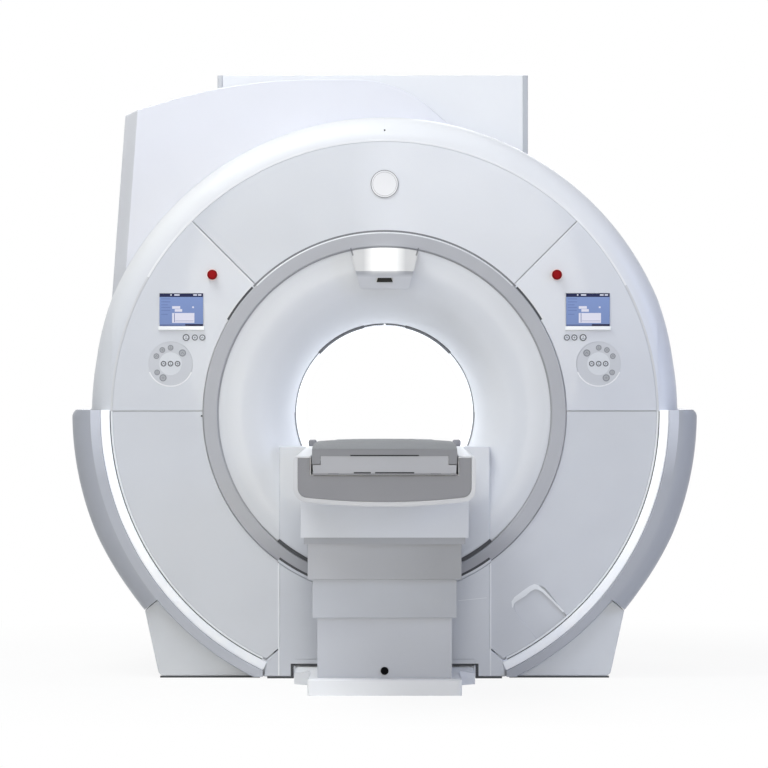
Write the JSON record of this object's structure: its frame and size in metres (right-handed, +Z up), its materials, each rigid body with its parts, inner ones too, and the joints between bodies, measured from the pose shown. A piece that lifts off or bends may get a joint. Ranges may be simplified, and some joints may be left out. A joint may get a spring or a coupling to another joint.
{
  "type": "mri scanner",
  "caption": "Closed-bore magnetic resonance scanner with a docked patient table whose telescoping pedestal lifts and whose cradle slides into the bore",
  "frame": {"origin": "On the floor, straight below the middle of the magnet's bore", "axes": "+X to the right seen from the patient table, +Y along the bore from the table end to the back, +Z up"},
  "size_m": [2.4878, 3.866, 2.481],
  "materials": {
    "cover_white": "smooth off-white painted moulding, satin",
    "panel_grey": "smooth light grey painted moulding, satin",
    "trim_grey": "mid grey moulding, satin",
    "bell_white": "smooth pale grey moulding, satin",
    "magnet_steel": "welded stainless vessel, brushed",
    "coil_resin": "glass-fibre and cast resin, matt",
    "frame_steel": "grey painted steel",
    "strip_white": "translucent white light guide",
    "bumper_grey": "grey soft-touch moulding",
    "screen": "lit display behind a clear front",
    "key_grey": "light grey keys with dark ring outlines",
    "stop_red": "red moulded button",
    "window_dark": "dark clear window",
    "column_metal": "anodised aluminium, satin",
    "cradle_grey": "grey glass-fibre tray, satin",
    "pad_grey": "dark grey coated fabric",
    "cap_grey": "mid grey moulding"
  },
  "bodies": {
    "gantry": {"badge_disc": "cover_white", "base_frame": "frame_steel", "bore_bridge": "bell_white", "bore_liner": "bell_white", "camera_hood": "cover_white", "cold_head": "column_metal", "console_panel_left": "panel_grey", "console_panel_right": "panel_grey", "crank_plug": "key_grey", "display_left": "screen", "display_right": "screen", "dock_column_cover": "panel_grey", "foot_cover_left": "panel_grey", "foot_cover_right": "panel_grey", "front_bell": "bell_white", "front_panel_top": "panel_grey", "gradient_coil": "coil_resin", "keypad_left": "key_grey", "keypad_right": "key_grey", "laser_window": "window_dark", "lift_column_outer": "column_metal", "lift_cover_4": "trim_grey", "lift_motor": "frame_steel", "light_strip_left": "strip_white", "light_strip_right": "strip_white", "lower_panel_left": "panel_grey", "lower_panel_right": "panel_grey", "magnet_vessel": "magnet_steel", "rear_bell": "bell_white", "rear_cover": "cover_white", "rf_body_coil": "coil_resin", "service_box": "cover_white", "shell_left": "cover_white", "shell_right": "cover_white", "table_base": "cover_white", "trim_ring": "trim_grey", "turret_cover": "cover_white", "vent_pipe": "magnet_steel", "wing_left": "bumper_grey", "wing_right": "bumper_grey"},
    "table": {"table_body": "cover_white", "table_end_cap": "cap_grey", "lift_cover_1": "trim_grey", "lift_column_inner": "column_metal", "cradle_drive": "frame_steel"},
    "cover_stage_2": {"lift_cover_2": "trim_grey"},
    "cover_stage_3": {"lift_cover_3": "trim_grey"},
    "column_stage": {"lift_column_middle": "column_metal"},
    "tray": {"cradle": "cradle_grey", "cradle_pad": "pad_grey", "foot_bolster": "pad_grey"},
    "pull_handle": {"cradle_end_handle": "trim_grey"},
    "stop_left": {"stop_button_left": "stop_red"},
    "stop_right": {"stop_button_right": "stop_red"},
    "left_key_1": {"key_left_1": "key_grey"},
    "left_key_2": {"key_left_2": "key_grey"},
    "left_key_3": {"key_left_3": "key_grey"},
    "right_key_1": {"key_right_1": "key_grey"},
    "right_key_2": {"key_right_2": "key_grey"},
    "right_key_3": {"key_right_3": "key_grey"}
  },
  "joints": [
    {"name": "table_lift", "type": "slide", "parent": "gantry", "child": "table", "axis": [0, 0, 1], "range_m": [-0.36, 0]},
    {"name": "cover_2_lift", "type": "slide", "parent": "gantry", "child": "cover_stage_2", "axis": [0, 0, 1], "range_m": [-0.24, 0]},
    {"name": "cover_3_lift", "type": "slide", "parent": "gantry", "child": "cover_stage_3", "axis": [0, 0, 1], "range_m": [-0.12, 0]},
    {"name": "column_lift", "type": "slide", "parent": "gantry", "child": "column_stage", "axis": [0, 0, 1], "range_m": [-0.18, 0]},
    {"name": "cradle_travel", "type": "slide", "parent": "table", "child": "tray", "axis": [0, 1, 0], "range_m": [0, 1.6]},
    {"name": "handle_pull", "type": "hinge", "parent": "tray", "child": "pull_handle", "pos_m": [0, -3.038, 0.918], "axis": [-1, 0, 0], "range_deg": [0, 75]},
    {"name": "stop_left_press", "type": "slide", "parent": "gantry", "child": "stop_left", "axis": [0, 1, 0], "range_m": [0, 0.005], "stiffness_N_per_m": 2000, "springref_m": -0.001},
    {"name": "stop_right_press", "type": "slide", "parent": "gantry", "child": "stop_right", "axis": [0, 1, 0], "range_m": [0, 0.005], "stiffness_N_per_m": 2000, "springref_m": -0.001},
    {"name": "key_left_1_press", "type": "slide", "parent": "gantry", "child": "left_key_1", "axis": [0, 1, 0], "range_m": [0, 0.0015], "stiffness_N_per_m": 800, "springref_m": -0.0005},
    {"name": "key_left_2_press", "type": "slide", "parent": "gantry", "child": "left_key_2", "axis": [0, 1, 0], "range_m": [0, 0.0015], "stiffness_N_per_m": 800, "springref_m": -0.0005},
    {"name": "key_left_3_press", "type": "slide", "parent": "gantry", "child": "left_key_3", "axis": [0, 1, 0], "range_m": [0, 0.0015], "stiffness_N_per_m": 800, "springref_m": -0.0005},
    {"name": "key_right_1_press", "type": "slide", "parent": "gantry", "child": "right_key_1", "axis": [0, 1, 0], "range_m": [0, 0.0015], "stiffness_N_per_m": 800, "springref_m": -0.0005},
    {"name": "key_right_2_press", "type": "slide", "parent": "gantry", "child": "right_key_2", "axis": [0, 1, 0], "range_m": [0, 0.0015], "stiffness_N_per_m": 800, "springref_m": -0.0005},
    {"name": "key_right_3_press", "type": "slide", "parent": "gantry", "child": "right_key_3", "axis": [0, 1, 0], "range_m": [0, 0.0015], "stiffness_N_per_m": 800, "springref_m": -0.0005}
  ],
  "couplings": [
    {"joint": "cover_2_lift", "follows": "table_lift", "ratio": 0.66667},
    {"joint": "cover_3_lift", "follows": "table_lift", "ratio": 0.33333},
    {"joint": "column_lift", "follows": "table_lift", "ratio": 0.5}
  ]
}
